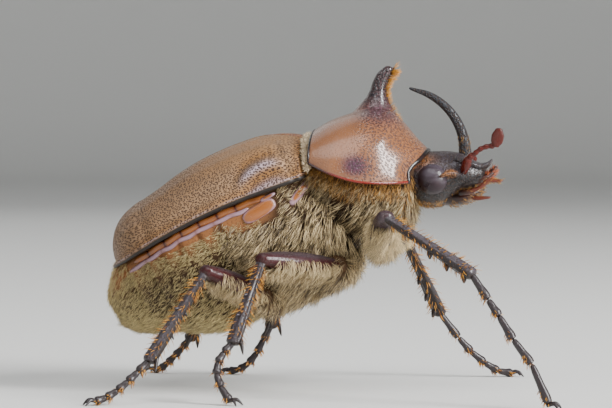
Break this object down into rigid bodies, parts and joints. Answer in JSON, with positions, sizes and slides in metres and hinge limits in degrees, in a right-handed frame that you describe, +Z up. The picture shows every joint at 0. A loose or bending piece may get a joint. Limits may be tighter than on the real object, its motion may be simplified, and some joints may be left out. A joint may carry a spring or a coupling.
{
  "type": "rhinoceros beetle",
  "caption": "Rhinoceros beetle standing on six legs, with an upright thorax horn, a curved head horn and a bristly underside.",
  "frame": {"origin": "on the floor under the middle of the stance", "axes": "+X forward to the head, +Y to the beetle's left, +Z up"},
  "size_m": [0.0502, 0.0412, 0.0357],
  "materials": {
    "wing_case": "satin tan-brown with dark pits",
    "shield": "glossy orange-tan, darker round the horn",
    "horn": "satin black",
    "head": "satin purple-grey, pitted",
    "eye": "glossy dark purple-brown",
    "feeler": "glossy red-brown",
    "mouthpart": "satin dark red-brown",
    "hairy_skin": "matt brown skin under pale gold hair",
    "leg": "satin grey-black to dark red-brown",
    "bristle": "pale gold to orange bristles"
  },
  "bodies": {
    "root": {"abdomen": "hairy_skin", "antenna_club_left": "feeler", "antenna_club_right": "feeler", "antenna_left": "feeler", "antenna_right": "feeler", "coxa_front_left": "leg", "coxa_front_right": "leg", "coxa_hind_left": "leg", "coxa_hind_right": "leg", "coxa_middle_left": "leg", "coxa_middle_right": "leg", "elytron_left": "wing_case", "elytron_right": "wing_case", "eye_left": "eye", "eye_right": "eye", "femur_front_left": "leg", "femur_front_right": "leg", "femur_hind_left": "leg", "femur_hind_right": "leg", "femur_middle_left": "leg", "femur_middle_right": "leg", "head": "head", "head_horn": "horn", "labium": "mouthpart", "mandible_left": "mouthpart", "mandible_right": "mouthpart", "metasternum": "hairy_skin", "palp_left": "mouthpart", "palp_right": "mouthpart", "pronotum": "shield", "prosternum": "hairy_skin", "pygidium": "hairy_skin", "scutellum": "shield", "tarsus_front_left": "leg", "tarsus_front_right": "leg", "tarsus_hind_left": "leg", "tarsus_hind_right": "leg", "tarsus_middle_left": "leg", "tarsus_middle_right": "leg", "thoracic_horn": "horn", "tibia_front_left": "leg", "tibia_front_right": "leg", "tibia_hind_left": "leg", "tibia_hind_right": "leg", "tibia_middle_left": "leg", "tibia_middle_right": "leg"}
  },
  "joints": []
}
